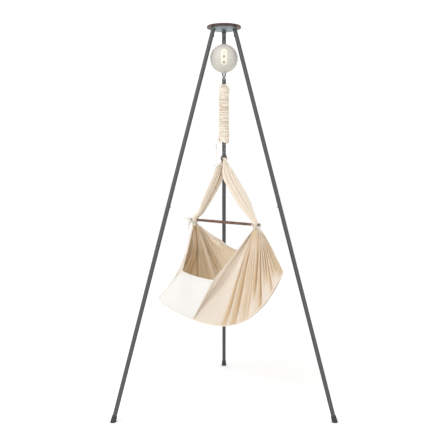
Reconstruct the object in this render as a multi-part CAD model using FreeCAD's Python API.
import FreeCAD, Part
import Mesh
import math
import os

# Hanging baby cradle: a three-legged stand carries a chain, a ball-shaped bounce
# motor, a covered coil spring, a swivel with a triangular carabiner, and a cloth
# cradle held open by a wooden spreader bar.
# Millimetres, +Z up, floor at z = 0, front towards -Y. Pieces are modelled with the
# hanging axis on the Z axis and moved to y = HANG_Y when written, which puts the
# origin in the middle of the footprint box.

V = FreeCAD.Vector
X_AXIS, Y_AXIS, Z_AXIS = V(1, 0, 0), V(0, 1, 0), V(0, 0, 1)
ORIGIN = V(0, 0, 0)

HANG_Y = -164.235

# Stand
FOOT_RADIUS = 655.8      # leg axes meet the floor on this circle
APEX_Z = 2254.2          # leg axes aim at this height on the hanging axis
LEG_ANGLES = {"front_left": -150.0, "front_right": -30.0, "rear": 90.0}
LEG_R = 11.0
LEG_BORE_R = 9.5
SPIGOT_R = 9.45
LEG_SPLIT_Z = 1060.0     # upper and lower leg tubes meet here
LEG_SPLIT_GAP = 0.1      # each tube stops this far from the split
CONNECTOR_HALF_LEN = 75.0
FOOT_CAP_LEN = 32.0
FOOT_CAP_OVERRUN = 8.0   # cone length below the floor, cut away
DISC_TOP_Z = 2050.0
DISC_R = 91.5
DISC_T = 10.5
PLATE_R = 70.0
PLATE_T = 8.0
PLATE_TOP = DISC_TOP_Z - DISC_T
PLATE_BOTTOM = PLATE_TOP - PLATE_T
DISC_SCREW_CIRCLE_R = 48.0
DISC_SCREW_ANGLES = (30.0, 150.0, 270.0)

# Rings and chain; link sizes are on the wire's centre line
WIRE_R = 2.5
LINK_HALF_W = 6.5
LINK_LEN = 25.0
EYE_MAJOR = 9.0
EYE_WIRE_R = 3.0
SMALL_EYE_MAJOR = 8.0
EYE_Z = 2018.5
EYE_STEM_R = 4.0
NUT_R = 7.4
NUT_BORE_R = 4.02
PLAY = 0.3               # slack between hooked rings

# Ball motor; button and light heights are from the ball's centre
BALL_Z = 1880.5
BALL_R = 74.6
SHELL_T = 3.0
COLLAR_R = 13.8
PANEL_HALF_W = 17.5
PANEL_HALF_H = 43.0
BUTTON_R = 6.5
BUTTONS = {"button_upper": (0.0, -69.0), "button_lower": (-29.0, -59.0)}  # z, flange front y
BUTTON_FLANGE_T = 1.6
LIGHT_Z = (25.0, 14.5)
HOUSING_SCREW_XZ = [(x, BALL_Z + z) for x in (-48.0, 48.0) for z in (-35.0, 35.0)]
ROD_EYE_Z = BALL_Z - 100.0

# Gear train
RACK_MODULE = 1.5
PINION_TEETH = 16
RACK_PITCH_X = 5.0       # pitch line of the rack
GEAR_MODULE = 1.0
GEAR_TEETH = 48
MOTOR_TEETH = 12
RACK_ADDENDUM = 0.8      # in modules
DEDENDUM = 1.2           # in modules
PRESSURE_ANGLE = math.radians(20)
BACKLASH = 0.10          # taken off each flank
SHAFT_R = 3.0
SHAFT_BORE_R = 3.02
BUSH_R = 5.0
GEAR_Y = (7.0, 13.0)     # face width of the drive gear and motor pinion
SHAFT_X = RACK_PITCH_X + RACK_MODULE * PINION_TEETH / 2.0
MOTOR_X = SHAFT_X - GEAR_MODULE * (GEAR_TEETH + MOTOR_TEETH) / 2.0
CHASSIS_X = (-32.0, 40.0)
CHASSIS_Y = (-9.0, 17.0)
CHASSIS_T = 2.0
CHASSIS_HALF_H = 46.0
CHASSIS_END_T = 3.0

# Spring and its cover
SPRING_MEAN_R = 15.5
SPRING_WIRE_R = 1.75
SPRING_BOTTOM_Z = 1465.0
SPRING_TOP_Z = 1705.0
SPRING_TURNS = 24
PLUG_R = 12.5            # plug body inside the coil
PLUG_FLANGE_R = 17.0
COVER_TOP_Z = 1738.0
COVER_BOTTOM_Z = 1431.0
COVER_R = 28.0

# Swivel and carabiner
SWIVEL_R = 11.0
SWIVEL_BOTTOM_Z = 1420.0
SWIVEL_TOP_Z = 1446.0
SWIVEL_EYE_TOP_Z = 1414.5
SWIVEL_EYE_BOTTOM_Z = 1379.5
CARABINER_WIRE_R = 3.5
CARABINER_BEND_R = 6.5
CARABINER_TOP_Z = 1385.8
CARABINER_BASE_Z = 1339.0
CARABINER_HALF_W = 25.0
APEX_OVERSHOOT = 9.52    # the sides' crossing point above the rounded apex
GATE_PIN_R = 1.25

# Cradle, in its own axes: U (local X) along the spreader bar, W (local Y) across it.
# Left is -U, right is +U, near is -W, far is +W. Pairs are (left, right).
CRADLE_TURN = -45.0      # degrees about +Z, from +X to the bar's direction
BAR_Z = 1000.0
BAR_HALF = 258.0
BAR_R = 8.0
GATHER_U = 237.0         # the end fans gather here
GATHER_Z = 974.0
GATHER_R = 15.0
BASE_A = (470.0, 470.0)  # half length of the base outline before its ends are slanted
BASE_B = (146.9, 123.6)  # half width: near side, far side
BASE_N = (5.156, 1.80)   # corner roundness: the left end is boxy, the right end pointed
BASE_SLANT = (55.6, 146.2)  # how far each end's far side is pulled in
BASE_Z = 468.0
BASE_RISE = (68.8, 283.2)   # how far each end sweeps up
BASE_POWER = (1.60, 3.286)  # how late the sweep starts
BASE_SHIFT = 80.0        # added to W before the roll
CRADLE_ROLL = 8.79       # degrees about the bar: the near side hangs lower
CLOTH_T = 3.0
HEM_LIFT = 2.0           # panels end this far above the base outline
FAN_GAP = 1.2            # extra gap at the near top corner of each end fan
SLING_T = 4.0
SLING_SCALES = (0.1, 0.35, 0.55, 0.7, 0.82, 0.92, 0.935)  # rings, as parts of the outline
SLING_TURN_UP = 0.82     # the sling's rim turns up from this scale outwards
MATTRESS_ENDS = (-365.0, 320.0)
MATTRESS_INSET = 24.0    # from the base outline
MATTRESS_T = 40.0
MATTRESS_LIFT = 3.0
MATTRESS_CHAMFER = 8.0
MATTRESS_END_PINCH = 22.0

# Seams between panels: hem corners, and the U where each seam meets the base outline
NEAR_RIGHT, NEAR_LEFT = V(71, -150, 712), V(-176, -150, 727)
FAR_RIGHT, FAR_LEFT = V(130, 100, 868), V(-130, 100, 872)
NEAR_RIGHT_U, NEAR_LEFT_U = -95.0, -425.0
FAR_RIGHT_U, FAR_LEFT_U = 130.0, -130.0

# Strap stations: U out from the middle, z, half width, half thickness
STRAP_STATIONS = [
    (7.0, 1334.0, 12, 2.4), (13.0, 1322.0, 15, 5.5),
    (26.0, 1292.0, 20, 9.5), (59.0, 1238.0, 26, 12.5),
    (104.0, 1170.0, 28, 13), (152.0, 1104.0, 26, 12.5),
    (197.0, 1042.0, 19, 11.5), (GATHER_U - 10, 1023.0, 14, 8),
]


# ---------------------------------------------------------------- helpers
def cyl(start, end, r):
    axis = end - start
    return Part.makeCylinder(r, axis.Length, start, axis)


def zcyl(r, z0, z1, x=0.0, y=0.0):
    return Part.makeCylinder(r, z1 - z0, V(x, y, z0), Z_AXIS)


def ycyl(r, y0, y1, x, z):
    return Part.makeCylinder(r, y1 - y0, V(x, y0, z), Y_AXIS)


def box(x0, x1, y0, y1, z0, z1):
    return Part.makeBox(x1 - x0, y1 - y0, z1 - z0, V(x0, y0, z0))


def one(shape):
    """The only solid of a shape, or the shape itself if it has several."""
    return shape.Solids[0] if len(shape.Solids) == 1 else shape


def fuse(shapes):
    joined = shapes[0].multiFuse(shapes[1:]).removeSplitter()
    return one(joined) if joined.ShapeType == "Compound" else joined


def polygon(points):
    return Part.makePolygon(points + [points[0]])


def unit(vector):
    result = V(vector)
    result.normalize()
    return result


def lerp(a, b, t):
    return a + (b - a) * t


def edges_at(shape, *heights):
    """Edges centred at one of the given heights."""
    return [e for e in shape.Edges if any(abs(e.CenterOfMass.z - z) < 0.01 for z in heights)]


def hex_nut(z0, z1):
    angles = [math.radians(60 * i) for i in range(6)]
    face = Part.Face(polygon([V(NUT_R * math.cos(a), NUT_R * math.sin(a), z0) for a in angles]))
    return one(face.extrude(V(0, 0, z1 - z0)).cut(zcyl(NUT_BORE_R, z0 - 1, z1 + 1)))


# ---------------------------------------------------------------- legs
class Leg:
    """A leg's axis from the floor; distances are measured along it."""

    def __init__(self, angle):
        a = math.radians(angle)
        outward = V(math.cos(a), math.sin(a), 0)
        self.foot = outward * FOOT_RADIUS
        self.direction = unit(V(0, 0, APEX_Z) - self.foot)
        sideways = unit(self.direction.cross(outward * -1.0))
        # across the tube, towards the hanging axis
        self.inward = unit(sideways.cross(self.direction))
        self.split = self.distance(LEG_SPLIT_Z)
        self.hub_screw = self.distance(PLATE_BOTTOM - 34)
        self.connector_screw = self.split + 38

    def distance(self, z):
        return z / self.direction.z

    def at(self, distance):
        return self.foot + self.direction * distance

    def rod(self, start, end, r):
        return cyl(self.at(start), self.at(end), r)


def leg_screw_hole(leg, distance):
    centre = leg.at(distance)
    return cyl(centre, centre + leg.inward * (LEG_R + 2.6), 2.55)


def leg_screw(leg, distance):
    centre = leg.at(distance)
    outer = centre + leg.inward * LEG_R
    head = outer + leg.inward * 2.6
    shank = cyl(centre + leg.inward * 2.0, head, 2.5)
    screw = shank.fuse(cyl(outer + leg.inward * 0.02, head, 4.2))
    socket = cyl(outer + leg.inward * 0.8, head + leg.inward, 1.6)
    return one(screw.cut(socket).removeSplitter())


def upper_leg(leg):
    start = leg.split + LEG_SPLIT_GAP
    top = leg.distance(PLATE_BOTTOM) + 30
    tube = leg.rod(start, top, LEG_R).cut(leg.rod(leg.split - 5, top + 5, LEG_BORE_R))
    tube = tube.cut(box(-300, 300, -300, 300, PLATE_BOTTOM - 0.1, PLATE_BOTTOM + 200))
    for distance in (leg.hub_screw, leg.connector_screw):
        tube = tube.cut(leg_screw_hole(leg, distance))
    return one(tube)


def lower_leg(leg):
    tube = leg.rod(9.2, leg.split - LEG_SPLIT_GAP, LEG_R)
    return one(tube.cut(leg.rod(5, leg.split + 5, LEG_BORE_R)))


def leg_connector(leg):
    spigot = leg.rod(leg.split - CONNECTOR_HALF_LEN, leg.split + CONNECTOR_HALF_LEN, SPIGOT_R)
    return one(spigot.cut(leg_screw_hole(leg, leg.connector_screw)))


def hub_stub(leg):
    start, end = leg.distance(PLATE_BOTTOM - 58), leg.distance(PLATE_BOTTOM + 3.5)
    return leg.rod(start, end, SPIGOT_R).cut(leg_screw_hole(leg, leg.hub_screw))


def foot_cap(leg):
    """A tapered cup on the tube, its sole cut flat by the floor."""
    cone = Part.makeCone(15.2, 13.2, FOOT_CAP_LEN + FOOT_CAP_OVERRUN,
                         leg.at(-FOOT_CAP_OVERRUN), leg.direction)
    cap = cone.cut(leg.rod(9.0, 80, LEG_R + 0.05))
    return one(cap.cut(box(-900, 900, -900, 900, -60, 0)))


# ---------------------------------------------------------------- hub
DISC_SCREW_XY = [(DISC_SCREW_CIRCLE_R * math.cos(math.radians(a)),
                  DISC_SCREW_CIRCLE_R * math.sin(math.radians(a))) for a in DISC_SCREW_ANGLES]


def top_disc():
    disc = zcyl(DISC_R, PLATE_TOP, DISC_TOP_Z)
    disc = disc.makeFillet(3.2, edges_at(disc, PLATE_TOP, DISC_TOP_Z))
    disc = disc.cut(zcyl(10.5, PLATE_TOP - 1, PLATE_TOP + 7.6))  # room for the eye bolt's nut
    for x, y in DISC_SCREW_XY:
        disc = disc.cut(zcyl(2.0, PLATE_TOP - 1, PLATE_TOP + 7, x, y))
    return one(disc)


def hub_plate(legs):
    plate = zcyl(PLATE_R, PLATE_BOTTOM, PLATE_TOP)
    plate = plate.makeFillet(1.5, edges_at(plate, PLATE_BOTTOM))
    plate = fuse([plate] + [hub_stub(leg) for leg in legs])
    plate = plate.cut(zcyl(4.2, PLATE_BOTTOM - 1, PLATE_TOP + 1))
    for x, y in DISC_SCREW_XY:
        plate = plate.cut(zcyl(2.3, PLATE_BOTTOM - 1, PLATE_TOP + 1, x, y))
    return one(plate)


def disc_screw(x, y):
    shank = zcyl(1.95, PLATE_BOTTOM - 0.05, PLATE_TOP + 6.5, x, y)
    screw = shank.fuse(zcyl(4.0, PLATE_BOTTOM - 2.4, PLATE_BOTTOM - 0.02, x, y))
    slot = box(x - 0.5, x + 0.5, y - 3, y + 3, PLATE_BOTTOM - 3, PLATE_BOTTOM - 1.4)
    return one(screw.cut(slot).removeSplitter())


def eye_bolt():
    return fuse([
        Part.makeTorus(EYE_MAJOR, EYE_WIRE_R, V(0, 0, EYE_Z), Y_AXIS),
        zcyl(EYE_STEM_R, EYE_Z + EYE_MAJOR - 1, PLATE_TOP + 7.0),
        zcyl(8.0, PLATE_BOTTOM - 1.6, PLATE_BOTTOM - 0.02),  # washer
    ])


# ---------------------------------------------------------------- chain
# Centre-line heights of the hooked rings, from the eye bolt down to the ball and from
# the lift rod's eye down to the spring's hook
LINK_STEP = LINK_LEN - 2 * WIRE_R - PLAY
LINK_1_TOP = EYE_Z - EYE_MAJOR + EYE_WIRE_R + WIRE_R + PLAY
LINK_2_TOP = LINK_1_TOP - LINK_STEP
MOTOR_EYE_Z = LINK_2_TOP - LINK_LEN + WIRE_R + EYE_WIRE_R + PLAY - EYE_MAJOR
LINK_3_TOP = ROD_EYE_Z - SMALL_EYE_MAJOR + 2 * WIRE_R + PLAY
LINK_4_TOP = LINK_3_TOP - LINK_STEP
HOOK_Z = LINK_4_TOP - LINK_STEP - SMALL_EYE_MAJOR


def link_sections(top_z, bottom_z):
    """Two half rings and two straights of an oval link in the XZ plane."""
    upper_z, lower_z = top_z - LINK_HALF_W, bottom_z + LINK_HALF_W
    sections = []
    for z, sweep in ((upper_z, -180), (lower_z, 180)):
        circle = Part.Circle(V(LINK_HALF_W, 0, z), Z_AXIS, WIRE_R)
        face = Part.Face(Part.Wire(circle.toShape()))
        sections.append(face.revolve(V(0, 0, z), Y_AXIS, sweep))
    for x in (LINK_HALF_W, -LINK_HALF_W):
        sections.append(zcyl(WIRE_R, lower_z, upper_z, x))
    return sections


def link(top_z, turned):
    """A chain link in the XZ plane, or in the YZ plane when turned."""
    shape = fuse(link_sections(top_z, top_z - LINK_LEN))
    if turned:
        shape.rotate(ORIGIN, Z_AXIS, 90)
    return shape


# ---------------------------------------------------------------- ball housing
def ball(r):
    return Part.makeSphere(r, V(0, 0, BALL_Z))


def motor_eye():
    ring = Part.makeTorus(EYE_MAJOR, EYE_WIRE_R, V(0, 0, MOTOR_EYE_Z), Y_AXIS)
    ring.rotate(V(0, 0, MOTOR_EYE_Z), Z_AXIS, 90)
    return fuse([ring, zcyl(EYE_STEM_R, BALL_Z + 36, MOTOR_EYE_Z - EYE_MAJOR + 1)])


def pill(half_w, half_h, y0, y1):
    """An upright round-ended block centred on the ball's height."""
    low, high = BALL_Z - half_h + half_w, BALL_Z + half_h - half_w
    return fuse([box(-half_w, half_w, y0, y1, low, high),
                 ycyl(half_w, y0, y1, 0, high), ycyl(half_w, y0, y1, 0, low)])


def shell_half(y0, y1):
    shell = ball(BALL_R).cut(ball(BALL_R - SHELL_T)).cut(zcyl(14.0, BALL_Z - 90, BALL_Z + 90))
    return shell.common(box(-100, 100, y0, y1, BALL_Z - 100, BALL_Z + 100))


def screw_boss(y0, y1, x, z):
    return ycyl(4.5, y0, y1, x, z).common(ball(BALL_R - 1.0))


def housing_front():
    half = shell_half(-100, -0.1)
    for x, z in HOUSING_SCREW_XZ:
        half = half.fuse(screw_boss(-60, -0.1, x, z)).cut(ycyl(1.55, -18, 1, x, z))
    half = half.cut(pill(PANEL_HALF_W + 0.4, PANEL_HALF_H + 0.4, -90, -30))
    return one(half.removeSplitter())


def housing_rear():
    half = shell_half(0.1, 100)
    for x, z in HOUSING_SCREW_XZ:
        half = half.fuse(screw_boss(0.1, 60, x, z)).cut(ycyl(1.7, -1, 10, x, z))
        half = half.cut(ycyl(3.2, 9, 80, x, z))
    return one(half.removeSplitter())


def housing_screw(x, z):
    screw = ycyl(1.5, -15, 9.05, x, z).fuse(ycyl(2.9, 9.05, 11.5, x, z))
    return one(screw.cut(ycyl(1.2, 10.2, 12, x, z)).removeSplitter())


def top_collar():
    end_z = BALL_Z + 74.7
    collar = fuse([zcyl(COLLAR_R, BALL_Z + 46.1, BALL_Z + 74.0),
                   zcyl(16.5, BALL_Z + 73.45, end_z)])
    collar = collar.makeFillet(0.6, edges_at(collar, end_z))
    return one(collar.cut(zcyl(4.2, BALL_Z + 40, BALL_Z + 90)))


def bottom_collar():
    end_z = BALL_Z - 76.5
    collar = fuse([zcyl(COLLAR_R, BALL_Z - 74.5, BALL_Z - 46.1),
                   zcyl(16.5, end_z, BALL_Z - 73.5)])
    collar = collar.makeFillet(1.0, edges_at(collar, end_z))
    return one(collar.cut(zcyl(5.05, BALL_Z - 90, BALL_Z - 40)))


def control_panel():
    """A pill-shaped slice of a slightly smaller shell."""
    panel = ball(BALL_R - 0.5).cut(ball(BALL_R - SHELL_T - 0.2))
    panel = panel.common(pill(PANEL_HALF_W, PANEL_HALF_H, -90, -30))
    for z, _ in BUTTONS.values():
        panel = panel.cut(ycyl(BUTTON_R + 0.2, -90, -20, 0, BALL_Z + z))
    for z in LIGHT_Z:
        panel = panel.cut(ycyl(2.05, -90, -20, 0, BALL_Z + z))
    return one(panel)


def status_light(z):
    return one(ycyl(2.0, -80, -50.1, 0, BALL_Z + z).common(ball(BALL_R - 0.1)))


def button(z, flange_y):
    z += BALL_Z
    cap = ycyl(BUTTON_R, -90, flange_y, 0, z).common(ball(BALL_R + 0.6))
    flange = ycyl(8.0, flange_y, flange_y + BUTTON_FLANGE_T, 0, z)
    return fuse([cap, flange, ycyl(2.0, flange_y, -55.8, 0, z)])


def circuit_board():
    board = [box(-13, 13, -50, -48.4, BALL_Z - 40, BALL_Z + 40)]
    for offset, _ in BUTTONS.values():
        z = BALL_Z + offset
        board.append(box(-3, 3, -53, -50, z - 3, z + 3))  # push switch
        board.append(ycyl(1.7, -54.4, -53, 0, z))
    board.append(box(-9, 9, -48.4, -44, BALL_Z - 30, BALL_Z - 18))
    return fuse(board)


# ---------------------------------------------------------------- gear train
# motor pinion -> drive gear -> rack pinion on the same shaft -> rack on the lift rod
def motor_chassis():
    x0, x1 = CHASSIS_X
    y0, y1 = CHASSIS_Y
    z0, z1 = BALL_Z - CHASSIS_HALF_H, BALL_Z + CHASSIS_HALF_H
    frame = fuse([box(x0, x1, y0, y0 + CHASSIS_T, z0, z1),
                  box(x0, x1, y1 - CHASSIS_T, y1, z0, z1),
                  box(x0, x1, y0, y1, z1 - CHASSIS_END_T, z1),
                  box(x0, x1, y0, y1, z0, z0 + CHASSIS_END_T)])
    frame = frame.cut(zcyl(4.2, BALL_Z + 40, BALL_Z + 50))
    frame = frame.cut(zcyl(6.0, BALL_Z - 50, BALL_Z - 40))
    frame = frame.cut(ycyl(BUSH_R + 0.02, -20, 30, SHAFT_X, BALL_Z))
    frame = frame.cut(ycyl(4.0, 14, 18, MOTOR_X, BALL_Z))
    for x in (-25.0, 33.0):
        for z in (BALL_Z - 36.0, BALL_Z + 36.0):
            frame = frame.cut(ycyl(5.0, -12, -5, x, z)).cut(ycyl(5.0, 14, 18, x, z))
    return one(frame)


def shaft_bush(y0, y1, flange_y0, flange_y1):
    bush = ycyl(BUSH_R, y0, y1, SHAFT_X, BALL_Z)
    bush = bush.fuse(ycyl(7.0, flange_y0, flange_y1, SHAFT_X, BALL_Z))
    bore = ycyl(SHAFT_R + 0.05, y0 - 1, y1 + 1, SHAFT_X, BALL_Z)
    return one(bush.removeSplitter().cut(bore))


def gear_motor():
    body = fuse([ycyl(13.0, 17.05, 48, MOTOR_X, BALL_Z), ycyl(6.0, 48, 50, MOTOR_X, BALL_Z)])
    return one(body.cut(ycyl(1.55, 16, 28, MOTOR_X, BALL_Z)))


def gear(module, teeth, y0, y1, x, phase, bore=None, addendum=0.75):
    """An involute spur gear about Y at the ball's height.

    phase is the angle of one tooth's centre, in degrees from +X towards +Z.
    """
    pitch_r = module * teeth / 2.0
    base_r = pitch_r * math.cos(PRESSURE_ANGLE)
    tip_r, root_r = pitch_r + addendum * module, pitch_r - DEDENDUM * module
    involute = math.tan(PRESSURE_ANGLE) - PRESSURE_ANGLE
    half_tooth = math.pi / 2 / teeth - BACKLASH * module / pitch_r
    flank_start = max(base_r, root_r)
    flank = []  # radius, half angle of the tooth there
    for k in range(5):
        r = flank_start + (tip_r - flank_start) * k / 4.0
        a = math.acos(min(1.0, base_r / r))
        flank.append((r, half_tooth + involute - (math.tan(a) - a)))
    root_half = flank[0][1]
    polar = []
    for i in range(teeth):
        centre = math.radians(phase) + 2 * math.pi * i / teeth
        polar.append((root_r, centre - root_half))
        polar += [(r, centre - half) for r, half in flank]
        polar += [(r, centre + half) for r, half in reversed(flank)]
        polar.append((root_r, centre + root_half))
    points = []
    for r, a in polar:
        point = V(x + r * math.cos(a), y0, BALL_Z + r * math.sin(a))
        # a flank that starts at the root repeats the root point
        if not points or (point - points[-1]).Length > 1e-6:
            points.append(point)
    solid = Part.Face(polygon(points)).extrude(V(0, y1 - y0, 0))
    return one(solid.cut(ycyl(bore, y0 - 1, y1 + 1, x, BALL_Z))) if bore else one(solid)


def drive_gear():
    wheel = gear(GEAR_MODULE, GEAR_TEETH, *GEAR_Y, SHAFT_X, phase=180.0, bore=SHAFT_BORE_R)
    for i in range(5):
        a = math.radians(72 * i)
        x, z = SHAFT_X + 13.5 * math.cos(a), BALL_Z + 13.5 * math.sin(a)
        wheel = wheel.cut(ycyl(5.0, 6, 14, x, z))
    return one(wheel)


def motor_pinion():
    return fuse([gear(GEAR_MODULE, MOTOR_TEETH, *GEAR_Y, MOTOR_X, phase=15.0),
                 ycyl(1.5, 6.5, 27.5, MOTOR_X, BALL_Z)])


def lift_rack():
    """A rack inside the ball, a round rod through the lower collar, an eye below."""
    pitch = math.pi * RACK_MODULE
    back_x = -6.0
    root_x = RACK_PITCH_X - DEDENDUM * RACK_MODULE
    tip_x = RACK_PITCH_X + RACK_ADDENDUM * RACK_MODULE
    below, above = -30.0, 23.0  # rack ends, from the ball's centre
    low, high = BALL_Z + below, BALL_Z + above
    half = pitch / 4 - BACKLASH
    half_root = half + (RACK_PITCH_X - root_x) * math.tan(PRESSURE_ANGLE)
    half_tip = half - (tip_x - RACK_PITCH_X) * math.tan(PRESSURE_ANGLE)
    profile = [(back_x, low), (root_x, low)]
    # only teeth whose whole pitch lies on the rack
    for k in range(math.ceil(below / pitch), math.floor(above / pitch)):
        centre = BALL_Z + (k + 0.5) * pitch
        profile += [(root_x, centre - half_root), (tip_x, centre - half_tip),
                    (tip_x, centre + half_tip), (root_x, centre + half_root)]
    profile += [(root_x, high), (back_x, high)]
    face = Part.Face(polygon([V(x, -5.0, z) for x, z in profile]))
    eye = Part.makeTorus(SMALL_EYE_MAJOR, WIRE_R, V(0, 0, ROD_EYE_Z), Y_AXIS)
    return fuse([face.extrude(V(0, 10.0, 0)), zcyl(5.0, ROD_EYE_Z + SMALL_EYE_MAJOR, low + 2), eye])


# ---------------------------------------------------------------- spring
def spring_top_plug():
    return fuse([Part.makeTorus(SMALL_EYE_MAJOR, WIRE_R, V(0, 0, HOOK_Z), X_AXIS),
                 zcyl(4.0, SPRING_TOP_Z + 4, HOOK_Z - 7.0),
                 zcyl(PLUG_FLANGE_R, SPRING_TOP_Z + 2.3, SPRING_TOP_Z + 6.5),
                 zcyl(PLUG_R, SPRING_TOP_Z - 16, SPRING_TOP_Z + 4)])


def spring():
    height = SPRING_TOP_Z - SPRING_BOTTOM_Z
    helix = Part.makeHelix(height / SPRING_TURNS, height, SPRING_MEAN_R)
    profile = Part.Wire([Part.makeCircle(SPRING_WIRE_R, V(SPRING_MEAN_R, 0, 0), Y_AXIS)])
    coil = Part.Wire(helix.Edges).makePipeShell([profile], True, True)
    coil.translate(V(0, 0, SPRING_BOTTOM_Z))
    return one(coil)


def spring_bottom_plug():
    return fuse([zcyl(PLUG_R, SPRING_BOTTOM_Z - 4, SPRING_BOTTOM_Z + 16),
                 zcyl(PLUG_FLANGE_R, SPRING_BOTTOM_Z - 6.5, SPRING_BOTTOM_Z - 2.3),
                 zcyl(5.0, 1437.0, SPRING_BOTTOM_Z - 4)])


def spring_cover():
    """A soft tube, drawn in at the top, with a wider hem at the bottom."""
    top, bottom, r = COVER_TOP_Z, COVER_BOTTOM_Z, COVER_R
    profile = [  # radius, z
        (12.5, top), (23.0, top), (26.5, top - 8), (r, top - 40),
        (r, bottom + 60), (r + 4, bottom + 14), (r + 4, bottom),
        (r + 1, bottom), (r + 1, bottom + 14), (r - 3, bottom + 60),
        (r - 3, top - 38), (20.0, top - 8), (12.5, top - 4),
    ]
    face = Part.Face(polygon([V(radius, 0, z) for radius, z in profile]))
    return one(face.revolve(ORIGIN, Z_AXIS, 360))


# ---------------------------------------------------------------- swivel
def swivel_housing():
    body = zcyl(SWIVEL_R, SWIVEL_BOTTOM_Z, SWIVEL_TOP_Z)
    body = body.makeFillet(2.0, edges_at(body, SWIVEL_BOTTOM_Z, SWIVEL_TOP_Z))
    # bore for the spring's stem, chamber for the eye's head, bore for the eye's stem
    for r, z0, z1 in ((5.05, 1436.5, 1450), (8.5, 1425.5, 1434.0), (4.05, 1410, 1430)):
        body = body.cut(zcyl(r, z0, z1))
    return one(body)


def swivel_eye():
    """A long eye in the plane of the bar, with a stem, a head and a collar."""
    return fuse(link_sections(SWIVEL_EYE_TOP_Z, SWIVEL_EYE_BOTTOM_Z)
                + [zcyl(4.0, SWIVEL_EYE_TOP_Z - 1.5, 1429.0), zcyl(8.0, 1427.0, 1432.5),
                   zcyl(6.0, SWIVEL_EYE_TOP_Z + 1.0, 1419.6)])


# ---------------------------------------------------------------- carabiner
# A triangle of wire in the plane across the bar, with its gate in the near side
def rounded_corner(point, before, after):
    """First tangent point, middle and second tangent point of a rounded corner."""
    a, b = unit(before - point), unit(after - point)
    half = math.acos(max(-1, min(1, a.dot(b)))) / 2
    reach = CARABINER_BEND_R / math.tan(half)
    bisector = unit(a + b)
    centre = point + bisector * (CARABINER_BEND_R / math.sin(half))
    return point + a * reach, centre - bisector * CARABINER_BEND_R, point + b * reach


APEX = V(0, 0, CARABINER_TOP_Z + APEX_OVERSHOOT)
BASE_NEAR = V(0, -CARABINER_HALF_W, CARABINER_BASE_Z)
BASE_FAR = V(0, CARABINER_HALF_W, CARABINER_BASE_Z)
APEX_BEND = rounded_corner(APEX, BASE_NEAR, BASE_FAR)
FAR_BEND = rounded_corner(BASE_FAR, APEX, BASE_NEAR)
NEAR_BEND = rounded_corner(BASE_NEAR, BASE_FAR, APEX)
GATE_DIR = unit(APEX - BASE_NEAR)
PIN_CENTRE = NEAR_BEND[2] + GATE_DIR * 4.0
NOSE = APEX_BEND[0] - GATE_DIR * 2.0  # the wire's free end above the gate


def pin_cylinder(half_len, r):
    """A cylinder along the gate pin's axis."""
    return cyl(PIN_CENTRE - X_AXIS * half_len, PIN_CENTRE + X_AXIS * half_len, r)


def carabiner():
    edges = []
    start = NOSE
    for bend in (APEX_BEND, FAR_BEND, NEAR_BEND):
        edges += [Part.makeLine(start, bend[0]), Part.Arc(*bend).toShape()]
        start = bend[2]
    edges.append(Part.makeLine(start, PIN_CENTRE))
    circle = Part.Wire([Part.makeCircle(CARABINER_WIRE_R, NOSE, GATE_DIR)])
    body = Part.Wire(edges).makePipeShell([circle], True, False)
    body = body.fuse(Part.makeSphere(5.2, PIN_CENTRE))
    # slot for the gate's tongue, then the pin's hole
    body = body.cut(Part.makeCylinder(7.2, 3.6, PIN_CENTRE - X_AXIS * 1.8, X_AXIS))
    body = body.cut(pin_cylinder(8, GATE_PIN_R + 0.01))
    # the slot may leave slivers, which are dropped
    keep = [s for s in body.Solids if s.Volume > 50]
    return keep[0] if len(keep) == 1 else Part.makeCompound(keep)


def carabiner_gate():
    rod = cyl(PIN_CENTRE + GATE_DIR * 8.2, NOSE - GATE_DIR * 0.5, 3.2)
    across = X_AXIS.cross(GATE_DIR) * 6.0
    corner = PIN_CENTRE - X_AXIS * 1.5 - across * 0.5
    length = GATE_DIR * 9.5
    strip = Part.Face(polygon([corner, corner + length, corner + length + across,
                               corner + across])).extrude(X_AXIS * 3.0)
    return one(fuse([rod, pin_cylinder(1.5, 3.4), strip]).cut(pin_cylinder(8, GATE_PIN_R + 0.06)))


# ---------------------------------------------------------------- spreader bar and straps
def spreader_bar():
    profile = [  # U, radius
        (-BAR_HALF, 0.0), (-BAR_HALF, 6.3), (-BAR_HALF + 30, 6.8), (-130, 7.6), (0, BAR_R),
        (130, 7.6), (BAR_HALF - 30, 6.8), (BAR_HALF, 6.3), (BAR_HALF, 0.0),
    ]
    points = [V(u, 0, BAR_Z + r) for u, r in profile]
    curve = Part.BSplineCurve()
    curve.interpolate(points[1:-1])
    outline_wire = Part.Wire([Part.makeLine(points[0], points[1]), curve.toShape(),
                              Part.makeLine(points[-2], points[-1]),
                              Part.makeLine(points[-1], points[0])])
    return one(Part.Face(outline_wire).revolve(V(0, 0, BAR_Z), X_AXIS, 360))


def bar_end_cap(sign):
    end_x = sign * (BAR_HALF + 9)
    cap = cyl(V(sign * (BAR_HALF + 0.05), 0, BAR_Z), V(end_x, 0, BAR_Z), 8.6)
    return one(cap.makeFillet(3.0, [e for e in cap.Edges
                                    if abs(e.CenterOfMass.x - end_x) < 0.01]))


def tie_cord(sign, index):
    centre = V(sign * (GATHER_U - 26 + 4.2 * index), 0, BAR_Z)
    return Part.makeTorus(10.6, 1.9, centre, X_AXIS)


def strap_section(centre, direction, half_w, half_t):
    """An octagon square to the direction: half_w along W, half_t in the U-Z plane."""
    thickness_dir = unit(unit(direction).cross(Y_AXIS))
    stretch = 0.96 / math.cos(math.radians(22.5))
    points = []
    for i in range(8):
        a = math.radians(22.5 + 45 * i)
        points.append(centre + Y_AXIS * (half_w * math.cos(a) * stretch)
                      + thickness_dir * (half_t * math.sin(a) * stretch))
    return polygon(points)


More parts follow.
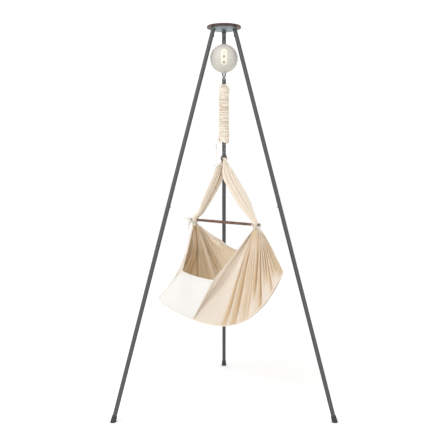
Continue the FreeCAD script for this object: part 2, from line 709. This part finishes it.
def strap(sign):
    last = len(STRAP_STATIONS) - 1
    sections = []
    for i, (u, z, half_w, half_t) in enumerate(STRAP_STATIONS):
        if i == 0:
            direction = V(0, 0, -1)
        elif i == last:
            direction = V(sign * 0.5, 0, -1)
        else:
            before, after = STRAP_STATIONS[i - 1], STRAP_STATIONS[i + 1]
            direction = V(sign * (after[0] - before[0]), 0, after[1] - before[1])
        sections.append(strap_section(V(sign * u, 0, z), direction, half_w, half_t))
    return one(Part.makeLoft(sections, True, True))


def strap_left():
    """The left strap's end goes over the carabiner's base bar as a loop."""
    z = CARABINER_BASE_Z
    inner, outer, half_w = 4.4, 9.0, 12
    face = Part.Face(polygon([V(inner, -half_w, z), V(outer, -half_w, z),
                              V(outer, half_w, z), V(inner, half_w, z)]))
    loop = face.revolve(V(0, 0, z), Y_AXIS, -180)
    return one(fuse([strap(-1), loop,
                     box(-outer, -4.6, -half_w, half_w, z - 8, z),
                     box(4.6, outer, -half_w, half_w, z - 1.0, z)]))


# ---------------------------------------------------------------- base outline
def end_index(u):
    return 1 if u > 0 else 0


def rolled(point):
    """A point of the cloth body, turned about the bar's axis by the roll."""
    roll = math.radians(CRADLE_ROLL)
    drop, w = BAR_Z - point.z, point.y + BASE_SHIFT
    return V(point.x, w * math.cos(roll) - drop * math.sin(roll),
             BAR_Z - drop * math.cos(roll) + w * math.sin(roll))


def flat_point(u, w, lift=0.0):
    """A point above the unrolled base: far side pulled in, ends swept up."""
    end = end_index(u)
    reach = abs(u) / BASE_A[end]
    far_part = (w + BASE_B[0]) / (BASE_B[0] + BASE_B[1])
    pull = BASE_SLANT[end] * far_part * reach ** (BASE_N[end] / 2)
    z = BASE_Z + BASE_RISE[end] * reach ** BASE_POWER[end]
    return V(u - pull if u > 0 else u + pull, w, z + lift)


def flat_outline(t, scale=1.0):
    c, s = math.cos(math.radians(t)), math.sin(math.radians(t))
    end = end_index(c)
    power = 2 / BASE_N[end]
    half_w = BASE_B[1] if s > 0 else BASE_B[0]
    return flat_point(BASE_A[end] * math.copysign(abs(c) ** power, c) * scale,
                      half_w * math.copysign(abs(s) ** power, s) * scale)


def outline(t):
    """The base outline at t degrees: 0 at the right tip, 90 on the far side."""
    return rolled(flat_outline(t))


def parameter_at(u, near):
    """The parameter at which the near or far edge of the outline passes u."""
    start = -180.0 if near else 0.0
    return min((start + k * 0.25 for k in range(1, 720)), key=lambda t: abs(outline(t).x - u))


def even(t0, t1, count):
    """count + 1 parameters from t0 to t1, evenly spaced along the outline."""
    steps = 600
    fine = [t0 + (t1 - t0) * k / float(steps) for k in range(steps + 1)]
    points = [outline(t) for t in fine]
    lengths = [0.0]
    for a, b in zip(points, points[1:]):
        lengths.append(lengths[-1] + (b - a).Length)
    result, k = [], 0
    for i in range(count + 1):
        while k < steps and lengths[k] < lengths[-1] * i / count:
            k += 1
        result.append(fine[k])
    return result


# ---------------------------------------------------------------- cloth
def faces_from(triangles):
    mesh = Mesh.Mesh([[(p.x, p.y, p.z) for p in t] for t in triangles])
    shape = Part.Shape()
    shape.makeShapeFromMesh(mesh.Topology, 0.001)
    return shape.Faces


def sheet(grid):
    """A closed cloth solid from a grid of points, thickened along row x column."""
    m, n = len(grid), len(grid[0])
    inner = []
    for i in range(m):
        row = []
        for j in range(n):
            along_row = grid[i][min(j + 1, n - 1)] - grid[i][max(j - 1, 0)]
            along_column = grid[min(i + 1, m - 1)][j] - grid[max(i - 1, 0)][j]
            row.append(grid[i][j] + unit(along_row.cross(along_column)) * CLOTH_T)
        inner.append(row)
    triangles = []

    def quad(a, b, c, d):
        triangles.extend([(a, b, c), (a, c, d)])

    for i in range(m - 1):
        for j in range(n - 1):
            quad(grid[i][j], grid[i + 1][j], grid[i + 1][j + 1], grid[i][j + 1])
            quad(inner[i][j], inner[i][j + 1], inner[i + 1][j + 1], inner[i + 1][j])
    for j in range(n - 1):
        quad(grid[0][j], grid[0][j + 1], inner[0][j + 1], inner[0][j])
        quad(grid[-1][j], inner[-1][j], inner[-1][j + 1], grid[-1][j + 1])
    for i in range(m - 1):
        quad(grid[i][0], inner[i][0], inner[i + 1][0], grid[i + 1][0])
        quad(grid[i][-1], grid[i + 1][-1], inner[i + 1][-1], inner[i][-1])
    faces = faces_from(triangles)
    solid = Part.Solid(Part.Shell(faces))
    if solid.Volume < 0:  # the shell came out inside out
        solid = Part.Solid(Part.Shell([f.reversed() for f in faces]))
        solid.fix(0.01, 0.01, 0.01)
    return solid


def end_fan(sign, near_top, near_u, far_top, far_u):
    """An end panel from its two seams and the base outline up to the gather."""
    t_near, t_far = parameter_at(near_u, near=True), parameter_at(far_u, near=False)
    near_bottom, far_bottom = outline(t_near), outline(t_far)
    if sign < 0:
        t_near += 360  # so that the run to the far side passes the left tip
    edge = [lerp(near_top, near_bottom, k / 4.0) for k in range(4)]
    edge += [outline(t) for t in even(t_near, t_far, 16)]
    edge += [lerp(far_top, far_bottom, k / 4.0) for k in (3, 2, 1, 0)]
    edge = [p + V(0, 0, HEM_LIFT) for p in edge]
    edge[0] = edge[0] + V(sign * FAN_GAP, 0, 0)
    gather = V(sign * GATHER_U, 0, GATHER_Z)
    # each fold line starts on a circle round the gather, so the lines don't cross
    top = [gather + unit(V(p.x - gather.x, p.y - gather.y, 0)) * GATHER_R for p in edge]
    return sheet([[lerp(a, b, i / 4.0) for a, b in zip(top, edge)] for i in range(5)])


def side_panel(top_a, top_b, u_a, u_b, near, sag, inset):
    """A panel between two seams, from its sagging hem down to the base outline.

    Both of its ends stand back from the seams by inset.
    """
    inset = math.copysign(inset, u_b - u_a)
    top_a, top_b = top_a + X_AXIS * inset, top_b - X_AXIS * inset
    u_a, u_b = u_a + inset, u_b - inset
    fractions = [j / 8.0 for j in range(9)]
    top = [lerp(top_a, top_b, f) + V(0, 0, -sag * 4 * f * (1 - f)) for f in fractions]
    bottom = [outline(parameter_at(u_a + (u_b - u_a) * f, near)) + V(0, 0, HEM_LIFT)
              for f in fractions]
    return sheet([[lerp(a, b, i / 4.0) for a, b in zip(top, bottom)] for i in range(5)])


def dished_sheet(rings, thick):
    """A closed sheet from rings of points around a middle, thickened downward."""
    n = len(rings[0])
    triangles = []
    for drop, upper in ((0.0, True), (thick, False)):
        middle = V(0, 0, sum(p.z for p in rings[0]) / n - drop)
        level = [[p - V(0, 0, drop) for p in ring] for ring in rings]
        faces = [(middle, level[0][j], level[0][(j + 1) % n]) for j in range(n)]
        for inner, outer in zip(level, level[1:]):
            for j in range(n):
                k = (j + 1) % n
                faces += [(inner[j], outer[j], outer[k]), (inner[j], outer[k], inner[k])]
        triangles += faces if upper else [(a, c, b) for a, b, c in faces]
    top = rings[-1]
    bottom = [p - V(0, 0, thick) for p in top]
    for j in range(n):
        k = (j + 1) % n
        triangles += [(top[j], bottom[j], bottom[k]), (top[j], bottom[k], top[k])]
    return Part.Solid(Part.Shell(faces_from(triangles)))


def base_sling():
    """A shallow dished sheet inside the outline, its rim turned up."""
    rim_scale = SLING_SCALES[-1]
    parameters = even(0.0, 360.0, 36)[:-1]
    rings = []
    for scale in SLING_SCALES:
        turn_up = max(0.0, (scale - SLING_TURN_UP) / (rim_scale - SLING_TURN_UP))
        ring = []
        for t in parameters:
            p = flat_outline(t, scale)
            rim_rise = flat_outline(t).z - flat_outline(t, rim_scale).z
            z = p.z + rim_rise * turn_up * turn_up - 10.0 * (1 - scale ** 2) - 6.0
            ring.append(rolled(V(p.x, p.y, z)))
        rings.append(ring)
    return dished_sheet(rings, SLING_T)


def mattress():
    """A bent pad lying on the sling."""
    left, right = MATTRESS_ENDS
    low, high, c = MATTRESS_LIFT, MATTRESS_LIFT + MATTRESS_T, MATTRESS_CHAMFER
    sections = []
    for u in (left, left + 30, left + 75, -200, -80, 60, 150, 210,
              right - 65, right - 30, right):
        end = end_index(u)
        width = (1 - (abs(u) / BASE_A[end]) ** BASE_N[end]) ** (1 / BASE_N[end])
        inset = MATTRESS_INSET + (MATTRESS_END_PINCH if u in MATTRESS_ENDS else 0.0)
        near, far = inset - BASE_B[0] * width, BASE_B[1] * width - inset
        corners = [(near, low + c), (near + c, low), (far - c, low), (far, low + c),
                   (far, high - c), (far - c, high), (near + c, high), (near, high - c)]
        sections.append(polygon([rolled(flat_point(u, w, lift)) for w, lift in corners]))
    return one(Part.makeLoft(sections, True, True))


# ---------------------------------------------------------------- assembly
def stand_pieces():
    legs = {name: Leg(angle) for name, angle in LEG_ANGLES.items()}
    pieces = {}
    for name, leg in legs.items():
        pieces["upper_leg_" + name] = upper_leg(leg)
        pieces["lower_leg_" + name] = lower_leg(leg)
        pieces["foot_cap_" + name] = foot_cap(leg)
    pieces["leg_connectors"] = Part.makeCompound([leg_connector(leg) for leg in legs.values()])
    pieces["leg_screws"] = Part.makeCompound([
        leg_screw(leg, distance) for leg in legs.values()
        for distance in (leg.hub_screw, leg.connector_screw)])
    pieces["hub_plate"] = hub_plate(legs.values())
    pieces["top_disc"] = top_disc()
    pieces["disc_screws"] = Part.makeCompound([disc_screw(x, y) for x, y in DISC_SCREW_XY])
    pieces["eye_bolt"] = eye_bolt()
    pieces["eye_bolt_nut"] = hex_nut(PLATE_TOP + 0.02, PLATE_TOP + 6.5)
    return pieces


def hanging_pieces():
    """Everything on the hanging axis from the chain down to the swivel's housing."""
    pieces = {
        "chain_link_upper": link(LINK_1_TOP, turned=True),
        "chain_link_second": link(LINK_2_TOP, turned=False),
        "motor_eye": motor_eye(),
        "motor_eye_nut": hex_nut(BALL_Z + 37.0, BALL_Z + 42.95),
        "housing_front": housing_front(),
        "housing_rear": housing_rear(),
        "housing_screws": Part.makeCompound([housing_screw(x, z) for x, z in HOUSING_SCREW_XZ]),
        "housing_collars": Part.makeCompound([top_collar(), bottom_collar()]),
        "control_panel": control_panel(),
        "status_lights": Part.makeCompound([status_light(z) for z in LIGHT_Z]),
        "circuit_board": circuit_board(),
        "motor_chassis": motor_chassis(),
        "shaft_bushes": Part.makeCompound([shaft_bush(-10.2, -7.0, -10.2, -9.02),
                                           shaft_bush(15.0, 18.2, 17.02, 18.2)]),
        "drive_shaft": ycyl(SHAFT_R, -11.5, 19.0, SHAFT_X, BALL_Z),
        "gear_motor": gear_motor(),
        "battery_pack": box(7, 36, 21, 44, BALL_Z - 26, BALL_Z + 26),
        "rack_pinion": gear(RACK_MODULE, PINION_TEETH, -4.5, 4.5, SHAFT_X, phase=180.0,
                            bore=SHAFT_BORE_R, addendum=RACK_ADDENDUM),
        "drive_gear": drive_gear(),
        "motor_pinion": motor_pinion(),
        "lift_rack": lift_rack(),
        "lower_chain": Part.makeCompound([link(LINK_3_TOP, turned=True),
                                          link(LINK_4_TOP, turned=False)]),
        "spring_top_plug": spring_top_plug(),
        "spring": spring(),
        "spring_bottom_plug": spring_bottom_plug(),
        "spring_cover": spring_cover(),
        "swivel_housing": swivel_housing(),
    }
    for name, (z, flange_y) in BUTTONS.items():
        pieces[name] = button(z, flange_y)
    return pieces


def cradle_pieces():
    """The pieces modelled in the bar's axes, turned to the bar's direction."""
    pieces = {
        "swivel_eye": swivel_eye(),
        "carabiner": carabiner(),
        "carabiner_gate": carabiner_gate(),
        "gate_pin": pin_cylinder(4.9, GATE_PIN_R),
        "spreader_bar": spreader_bar(),
        "bar_end_caps": Part.makeCompound([bar_end_cap(sign) for sign in (-1, 1)]),
        "tie_cords": Part.makeCompound([tie_cord(sign, k) for sign in (-1, 1)
                                        for k in range(3)]),
        "strap_left": strap_left(),
        "strap_right": strap(1),
        "end_fan_right": end_fan(1, NEAR_RIGHT, NEAR_RIGHT_U, FAR_RIGHT, FAR_RIGHT_U),
        "end_fan_left": end_fan(-1, NEAR_LEFT, NEAR_LEFT_U, FAR_LEFT, FAR_LEFT_U),
        "side_panel_near": side_panel(NEAR_LEFT, NEAR_RIGHT, NEAR_LEFT_U, NEAR_RIGHT_U,
                                      near=True, sag=6.0, inset=4.0),
        "side_panel_far": side_panel(FAR_RIGHT, FAR_LEFT, FAR_RIGHT_U, FAR_LEFT_U,
                                     near=False, sag=40.0, inset=3.0),
        "base_sling": base_sling(),
        "mattress": mattress(),
    }
    for shape in pieces.values():
        shape.rotate(ORIGIN, Z_AXIS, CRADLE_TURN)
    return pieces


os.makedirs("parts", exist_ok=True)
for group in (stand_pieces(), hanging_pieces(), cradle_pieces()):
    for name, shape in group.items():
        shape.translate(V(0, HANG_Y, 0))
        shape.exportStep("parts/" + name + ".step")
